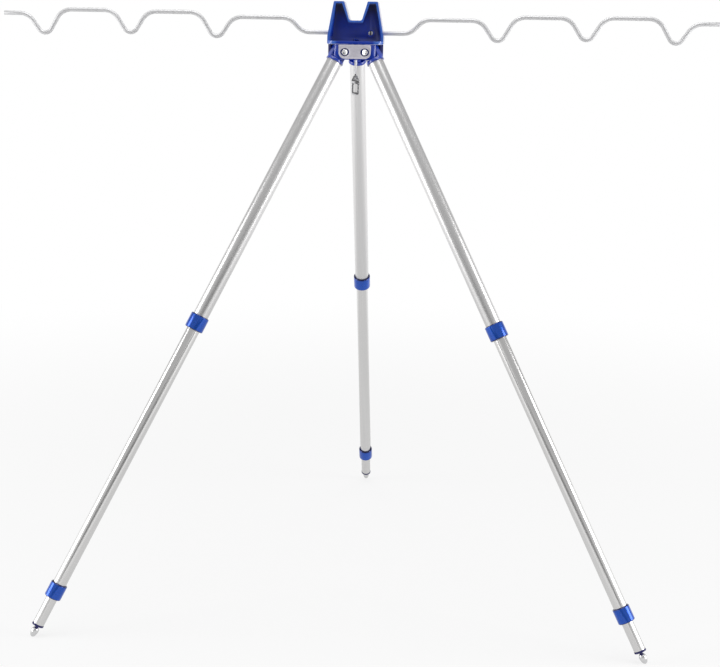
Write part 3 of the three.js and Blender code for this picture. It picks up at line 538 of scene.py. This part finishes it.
def upright_slab(name, outline, half, centre, side_axis, up_axis, body, stands_for, finish, bevel):
    """An outline in two axes through a centre, given thickness along the third, its edges bevelled.

    A point is centre + u * side + v * up + w * (up x side), with u and v from the outline and
    w plus or minus half the thickness.
    """
    side_axis, up_axis = np.array(side_axis, float), np.array(up_axis, float)
    through = np.cross(up_axis, side_axis)
    outline = np.array(outline, float)
    face = outline[:, :1] * side_axis + outline[:, 1:] * up_axis + np.array(centre, float)
    points = np.concatenate([face - half * through, face + half * through])
    n = len(outline)
    i = np.arange(n)
    walls = np.stack([i, (i + 1) % n, (i + 1) % n + n, i + n], axis=-1)
    area = np.sum(outline[:, 0] * (np.roll(outline[:, 1], -1) - np.roll(outline[:, 1], 1)))
    low_face, high_face = i.copy(), i[::-1] + n
    if area > 0:
        walls, low_face, high_face = walls[:, ::-1], low_face, high_face
    else:
        low_face, high_face = low_face[::-1], high_face[::-1]
    faces = list(walls) + [low_face, high_face]
    piece = make_piece(name, points, faces, body, stands_for, finish)
    edge = piece.modifiers.new("edge", "BEVEL")
    edge.width = bevel
    edge.segments = 3
    edge.limit_method = "ANGLE"
    edge.angle_limit = math.radians(40)
    return piece


for side, (pivot, down) in legs.items():
    down = np.array(down)
    tangent = np.array(hinges[f"{side}_leg_fold"]["axis"])
    outward = np.cross(tangent, -down)
    arc = np.linspace(np.pi / 2 - knuckle_lean, np.pi, 25)
    flat_end = (tongue_round - tongue_half * math.sin(knuckle_lean)) / math.cos(knuckle_lean)
    tongue = [(tongue_half, -tongue_foot), (tongue_half, flat_end)]
    tongue += [(tongue_round * math.cos(a), tongue_round * math.sin(a)) for a in arc]
    tongue += [(-tongue_round, -tongue_foot)]
    upright_slab(
        f"{side}_knuckle_tongue", tongue, tongue_thickness / 2, pivot, outward, -down,
        f"{side}_upper", [f"{side}_knuckle"], royal_blue, 0.0006,
    )
    cap = [
        (0.0, 0.0113), (0.0120, 0.0113), (0.0130, 0.0157), (0.0113, 0.0157), (0.0113, 0.0127),
        (0.0095, 0.0127), (0.0095, 0.0280), (0.0, 0.0280),
    ]
    turned(
        f"{side}_knuckle_cap", cap, pivot, down, f"{side}_upper",
        [f"{side}_knuckle"], royal_blue, "blue_plastic", steps=96, ease=0.0006,
    )

# Crown: a royal blue moulding, an upright with a notch between two horns and a tray sunk in each
# face, screwed on the hub. Its edges are softly rounded; the rims carry a painted highlight
# and the trays painted shade.


def softened(node, body, finish, bevel, segments=3, sharp=30, wide=0.0, is_wide=None):
    """A copy of a CAD node's mesh, its doubles merged and flat faces joined, with rounded edges.

    Edges whose two ends both pass is_wide, a test of a place, first get a flat chamfer of that width.
    """
    source = frame["nodes"][node]
    mesh = bpy.data.meshes.new(node + "_moulded")
    work = bmesh.new()
    work.from_mesh(source.data)
    bmesh.ops.remove_doubles(work, verts=work.verts, dist=2e-6)
    bmesh.ops.dissolve_limit(work, angle_limit=math.radians(0.8), verts=work.verts, edges=work.edges)
    if is_wide:
        weight = work.edges.layers.float.new("bevel_weight_edge")
        for line in work.edges:
            if len(line.link_faces) == 2 and line.calc_face_angle(0.0) > math.radians(sharp):
                line[weight] = float(all(is_wide(end.co) for end in line.verts))
    work.to_mesh(mesh)
    work.free()
    mesh.polygons.foreach_set("use_smooth", np.ones(len(mesh.polygons), bool))
    mesh.materials.clear()
    mesh.materials.append(finish)
    piece = bpy.data.objects.new(node + "_moulded", mesh)
    scene.collection.objects.link(piece)
    if is_wide:
        chamfer = piece.modifiers.new("chamfer", "BEVEL")
        chamfer.width = wide
        chamfer.segments = 1
        chamfer.limit_method = "WEIGHT"
    edge = piece.modifiers.new("edge", "BEVEL")
    edge.width = bevel
    edge.segments = segments
    edge.limit_method = "ANGLE"
    edge.angle_limit = math.radians(sharp)
    edge.harden_normals = True
    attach(piece, body)
    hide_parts(node)
    return piece


def place_node(nodes, links):
    """The x, y and z of a point in Object coordinates, as three sockets."""
    place = nodes.new("ShaderNodeSeparateXYZ")
    links.new(nodes.new("ShaderNodeTexCoord").outputs["Object"], place.inputs["Vector"])
    return place.outputs["X"], place.outputs["Y"], place.outputs["Z"]


crown_low, crown_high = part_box("crown")
arm_low, arm_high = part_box("right_arm")
arm_plane = (arm_low.y + arm_high.y) / 2
crown_rise = crown_high.z - crown_low.z
crown_foot = 0.0105
crown_taper = 0.1823
crown_half_depth = 0.020
notch_half = 0.0088
notch_level = 0.0325
notch_slope = 0.3038
# Painted shade for the deep trays and painted highlight for the rims' front lips.
tray_painted_shade = (0.006, 0.012, 0.120)
rim_painted_highlight = (0.050, 0.160, 0.660)


def crown_plastic():
    """The moulded blue, with painted shade where the trays are deep and a painted highlight
    on their slanted rims.

    A point lies inside the crown's slanted sides when |x| + taper * (height above the straight
    foot) is less than half the base width, and inside a horn when |x| is more than half the
    notch's floor + slope * (height above that floor).
    """
    finish = moulded_blue("crown_blue", moulded_dark, moulded_light, 0.16, 0.24)
    nodes, links = finish.node_tree.nodes, finish.node_tree.links
    shader = nodes["Principled BSDF"]

    def both(operation, first, second):
        return math_node(nodes, links, operation, first, second)

    def ramp(value, start, stop, first=0.0, last=1.0):
        return ramp_node(nodes, links, value, start, stop, first, last)

    x, y, z = place_node(nodes, links)
    away = gap_node(nodes, links, x, 0.0)
    depth = gap_node(nodes, links, y, arm_plane)
    level = both("SUBTRACT", z, crown_low.z)
    raised = both("MAXIMUM", both("SUBTRACT", level, crown_foot), 0.0)
    slant = both("ADD", away, both("MULTIPLY", raised, crown_taper))
    climb = both("MULTIPLY", both("SUBTRACT", level, notch_level), notch_slope)
    horn = ramp(both("SUBTRACT", both("SUBTRACT", away, notch_half), climb), 0.0010, 0.0018)
    body = both("MAXIMUM", horn, ramp(level, notch_level - 0.0024, notch_level - 0.0012, 1.0, 0.0))
    under = both("MULTIPLY", body, ramp(level, crown_rise - 0.0026, crown_rise - 0.0014, 1.0, 0.0))
    inside = both("MULTIPLY", under, ramp(slant, crown_high.x - 0.0025, crown_high.x - 0.0010, 1.0, 0.0))
    wall = both("MULTIPLY", ramp(depth, crown_half_depth - 0.007, crown_half_depth - 0.001), inside)
    lip = both("MAXIMUM", wall, ramp(depth, crown_half_depth - 0.0008, crown_half_depth - 0.0003))
    rim_highlight_share = both("MAXIMUM", ramp(level, 0.006, 0.010), ramp(away, 0.024, 0.030))
    deep = both("MULTIPLY", ramp(depth, crown_half_depth - 0.010, crown_half_depth - 0.006, 1.0, 0.0), inside)
    # Painted shade deep in the trays, stronger higher up and further out; then a painted highlight on the
    # rims.
    tray_shade_share = both("MAXIMUM", ramp(level, 0.030, 0.050), ramp(away, 0.012, 0.032, 0.0, 0.5))
    add_tone(nodes, links, shader, both("MULTIPLY", tray_shade_share, deep), tray_painted_shade)
    add_tone(nodes, links, shader, both("MULTIPLY", lip, rim_highlight_share), rim_painted_highlight)
    return finish


softened("crown", "head", crown_plastic(), 0.0007)

# Hub: a royal blue moulding under the crown, with a shield in front and three forks for the legs.
# The shield's edge is a wider chamfer, and the top outer corners behind it are dull, with painted shade.
hub_low, hub_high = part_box("hub")
hub_painted_shade = (0.004, 0.004, 0.070)
shield_reach = 0.0240


def hub_plastic():
    """The moulded blue, dull and darkened by painted shade where a point is far out, high up and behind the
    shield.
    """
    finish = moulded_blue("hub_blue", moulded_dark, moulded_light, 0.16, 0.24)
    nodes, links = finish.node_tree.nodes, finish.node_tree.links
    shader = nodes["Principled BSDF"]
    x, y, z = place_node(nodes, links)
    # Painted shade under the crown: far out, high up and behind the shield, darkened and dulled.
    outer = ramp_node(nodes, links, gap_node(nodes, links, x, 0.0), 0.0265, 0.0305)
    upper = ramp_node(nodes, links, z, hub_high.z - 0.018, hub_high.z - 0.008, 0.0, 0.9)
    behind = ramp_node(nodes, links, y, hub_low.y + 0.001, hub_low.y + 0.003)
    share = math_node(nodes, links, "MULTIPLY", math_node(nodes, links, "MULTIPLY", outer, upper), behind)
    add_tone(nodes, links, shader, share, hub_painted_shade)
    gloss = shader.inputs["Roughness"].links[0].from_socket
    dull = math_node(nodes, links, "MULTIPLY", share, 0.95)
    links.new(math_node(nodes, links, "MAXIMUM", gloss, dull), shader.inputs["Roughness"])
    links.new(ramp_node(nodes, links, share, 0.0, 0.8, 0.7, 0.0), shader.inputs["Coat Weight"])
    return finish


softened(
    "hub", "head", hub_plastic(), 0.0004, wide=0.0016,
    is_wide=lambda place: place.y < hub_low.y + 0.0002 and abs(place.x) > shield_reach,
)

# Front plate: a thin satin metal plate let into the hub's shield.
# It has two round holes through which the front hinge pins show.
plate_metal = turned_steel("plate_metal", (0.74, 0.72, 0.80), (0.82, 0.80, 0.88), 0.46, 0.56)
softened("front_plate", "head", plate_metal, 0.0003, segments=2)

# Hinge pins and nuts: bright steel pins with flat, chamfered heads, one through each fork,
# held by a hexagonal nut on the far cheek.
pin_along = {"left": 1, "right": -1, "rear": 1}
pin_seat = {"left": 0.0143, "right": 0.0143, "rear": 0.0133}
pin_start = -0.0181
pin_radius = 0.003
for side, (pivot, down) in legs.items():
    axis = np.array(hinges[f"{side}_leg_fold"]["axis"]) * pin_along[side]
    seat = pin_seat[side]
    pin = [
        (0.0, pin_start), (pin_radius, pin_start), (pin_radius, seat), (0.0043, seat),
        (0.0043, seat + 0.0030), (0.0037, seat + 0.0038), (0.0020, seat + 0.0040), (0.0, seat + 0.0040),
    ]
    turned(
        f"{side}_hinge_pin_turned", pin, pivot, axis, "head",
        [f"{side}_hinge_pin"], bright_steel, "bright_steel", steps=48, ease=0.0003,
    )
    softened(f"{side}_hinge_nut", "head", bright_steel, 0.0003, segments=2)

# Crown screws: three blued screws in the floor of the trays, hardly seen.
# They hold the crown's foot on the hub.
blued_steel = turned_steel("blued_steel", (0.012, 0.026, 0.180), (0.018, 0.040, 0.260), 0.34, 0.46)
for side in ("front", "right", "left"):
    softened(f"crown_screw_{side}", "head", blued_steel, 0.0002, segments=2)

# Arms: 6 mm aluminium wire bent into three V-shaped rests each, its inner end in the crown.
# The bends are made round a small mandrel, and the outer end is cut square.
arm_wire = drawn_metal(
    "arm_wire", (0.73, 0.73, 0.74), (0.79, 0.79, 0.80), 0.46, 0.54, line=1500.0, metallic=0.5
)
wire_radius = 0.003
wire_inner = 0.0098
bend_round = 0.024
rest_levels = (0.0195, 0.0250, 0.0260, 0.0200)
rest_first = 0.200
rest_pitch = 0.1235
rest_half = 0.0245
rest_drop = 0.039
rest_round = 0.0105
wire_bends = [(0.0767, 0.0, bend_round), (0.0955, rest_levels[0], bend_round)]
for number, (near, away) in enumerate(zip(rest_levels, rest_levels[1:])):
    middle = rest_first + rest_pitch * number
    wire_bends.append((middle - rest_half, near, bend_round))
    wire_bends.append((middle, (near + away) / 2 - rest_drop, rest_round))
    wire_bends.append((middle + rest_half, away, bend_round))
wire_end = (arm_high.x, rest_levels[-1])


def bent_path(start, bends, end, steps):
    """Points and unit tangents of straight runs joined by arcs, each bend with its own radius.

    A point of an arc is begin + radius * (sin a * before + (1 - cos a) * left), where a runs from
    0 to the bend's angle, and begin lies radius * tan(half that angle) before the corner.
    """
    corners = np.array([start, *(bend[:2] for bend in bends), end], float)
    radius = np.array([bend[2] for bend in bends])
    into = np.diff(corners, axis=0)
    into /= np.linalg.norm(into, axis=1)[:, None]
    before, after = into[:-1], into[1:]
    swing = np.arctan2(
        before[:, 0] * after[:, 1] - before[:, 1] * after[:, 0], np.sum(before * after, axis=1)
    )
    reach = radius * np.tan(np.abs(swing) / 2)
    begin = corners[1:-1] - before * reach[:, None]
    left = np.stack([-before[:, 1], before[:, 0]], axis=1) * np.sign(swing)[:, None]
    t = np.linspace(0, 1, steps + 1)[None, :, None]
    a = np.abs(swing)[:, None, None] * t
    turn = np.sin(a) * before[:, None] + (1 - np.cos(a)) * left[:, None]
    points = begin[:, None] + radius[:, None, None] * turn
    tangents = np.cos(a) * before[:, None] + np.sin(a) * left[:, None]
    points = np.concatenate([corners[:1], points.reshape(-1, 2), corners[-1:]])
    tangents = np.concatenate([into[:1], tangents.reshape(-1, 2), into[-1:]])
    return points, tangents


def wire_sweep(name, path, tangents, radius, centre, sideways, body, stands_for, finish, steps=24):
    """A round wire along a path in the plane of sideways and +Z, its two end faces flat.

    A point is the path's point + radius * (cos a * Y + sin a * normal), where normal is square
    to the path in its plane. The first and the last ring are drawn in a little, as broken edges.
    """
    edge = np.array([0.92, 1.0])
    near = path[:1] + tangents[:1] * radius * 0.12
    far = path[-1:] - tangents[-1:] * radius * 0.12
    rows = np.concatenate([path[:1], near, path[1:-1], far, path[-1:]])
    ways = np.concatenate([tangents[:1], tangents[:1], tangents[1:-1], tangents[-1:], tangents[-1:]])
    widths = np.concatenate([edge, np.ones(len(rows) - 4), edge[::-1]]) * radius
    far_along = np.concatenate([[0], np.cumsum(np.linalg.norm(np.diff(rows, axis=0), axis=1))])
    flat_way = np.array([sideways, 0.0, 0.0])
    up = np.array([0.0, 0.0, 1.0])
    spine = rows[:, :1] * flat_way + rows[:, 1:] * up + np.array(centre, float)
    normal = -ways[:, 1:] * flat_way + ways[:, :1] * up
    angle = np.linspace(0, 2 * np.pi, steps, endpoint=False)
    through = np.array([0.0, 1.0, 0.0])
    ring = np.cos(angle)[None, :, None] * through + np.sin(angle)[None, :, None] * normal[:, None]
    points = spine[:, None] + widths[:, None, None] * ring
    i, j = np.meshgrid(np.arange(len(rows) - 1), np.arange(steps), indexing="ij")
    nxt = (j + 1) % steps
    quads = np.stack([i * steps + j, i * steps + nxt, (i + 1) * steps + nxt, (i + 1) * steps + j], axis=-1)
    quads = quads.reshape(-1, 4)
    first, last = np.arange(steps)[::-1], np.arange(steps) + (len(rows) - 1) * steps
    if sideways < 0:
        quads, first, last = quads[:, ::-1], first[::-1], last[::-1]
    piece = make_piece(name, points, [*quads, first, last], body, stands_for, finish)
    local = np.stack(
        [
            np.repeat((radius * np.cos(angle))[None, :], len(rows), axis=0),
            np.repeat((radius * np.sin(angle))[None, :], len(rows), axis=0),
            np.repeat(far_along[:, None], steps, axis=1),
        ],
        axis=-1,
    )
    along = piece.data.attributes.new("along", "FLOAT_VECTOR", "POINT")
    along.data.foreach_set("vector", local.astype(np.float32).ravel())
    return piece


socket_level = crown_low.z + 0.0155
for side, sideways in (("right", 1.0), ("left", -1.0)):
    path, tangents = bent_path((wire_inner, 0.0), wire_bends, wire_end, 12)
    wire_sweep(
        f"{side}_arm_bent", path, tangents, wire_radius, (0, arm_plane, socket_level), sideways,
        f"{side}_arm", [f"{side}_arm"], arm_wire,
    )

# Clamp screws: slotted grub screws in the trays' bosses, each pressing on its arm's wire.
# Their faces are bright, and painted shade darkens their slots and the shank behind the face.
screw_steel = turned_steel("screw_steel", (0.82, 0.82, 0.83), (0.90, 0.90, 0.91), 0.30, 0.38)
screw_nodes, screw_links = screw_steel.node_tree.nodes, screw_steel.node_tree.links
screw_low, screw_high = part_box("right_arm_screw")
screw_middle = (screw_low.x + screw_high.x) / 2
screw_face = arm_plane - screw_low.y
screw_x, screw_y, _ = place_node(screw_nodes, screw_links)
screw_far = gap_node(screw_nodes, screw_links, screw_y, arm_plane)
screw_away = gap_node(screw_nodes, screw_links, screw_x, 0.0)
screw_off = gap_node(screw_nodes, screw_links, screw_away, screw_middle)
# Painted shade in the slot and on the shank behind the face.
screw_floor = screw_face - 0.0009
screw_deep = ramp_node(screw_nodes, screw_links, screw_far, screw_floor, screw_floor + 0.0005, 1.0, 0.0)
screw_slot = ramp_node(screw_nodes, screw_links, screw_off, 0.0008, 0.0011, 1.0, 0.0)
screw_painted_shade = math_node(screw_nodes, screw_links, "MAXIMUM", screw_deep, screw_slot)
add_tone(screw_nodes, screw_links, screw_nodes["Principled BSDF"], screw_painted_shade, (0.03, 0.03, 0.04))
for side in ("right", "left"):
    softened(f"{side}_arm_screw", f"{side}_clamp", screw_steel, 0.0002, segments=2)

# Hook: a bright plated snap hook on a swivel under the hub.
# A small sprung gate on its own pin closes the hook's eye.
plated_steel = turned_steel("plated_steel", (0.66, 0.66, 0.68), (0.76, 0.76, 0.78), 0.14, 0.22)
softened("hook_swivel", "swivel", plated_steel, 0.0002, segments=2)
for node in ("snap_hook", "hook_pin", "hook_gate_pin"):
    softened(node, "snap_hook", plated_steel, 0.0002, segments=2)
softened("hook_gate", "gate", plated_steel, 0.0002, segments=2)

# Bushes and guides: white nylon pieces inside the collars and tubes, hidden when the stand is put up.
# They are moulded, and stay as the frame has them.
nylon, nylon_nodes, nylon_links, nylon_shader = finish_of("white_nylon", (0.78, 0.78, 0.75), 0.5)
nylon_place = nylon_nodes.new("ShaderNodeTexCoord").outputs["Object"]
nylon_tone = add_mottle(nylon_nodes, nylon_links, nylon_place, 120.0, 0.0, 1.0)
nylon_colour = add_tint(nylon_nodes, nylon_links, nylon_tone, (0.72, 0.72, 0.69), (0.80, 0.80, 0.77))
nylon_links.new(nylon_colour, nylon_shader.inputs["Base Color"])
for side in legs:
    for part in ("upper_bush", "lower_bush", "middle_guide", "lower_guide"):
        node = frame["nodes"][f"{side}_{part}"]
        node.data.materials.clear()
        node.data.materials.append(nylon)
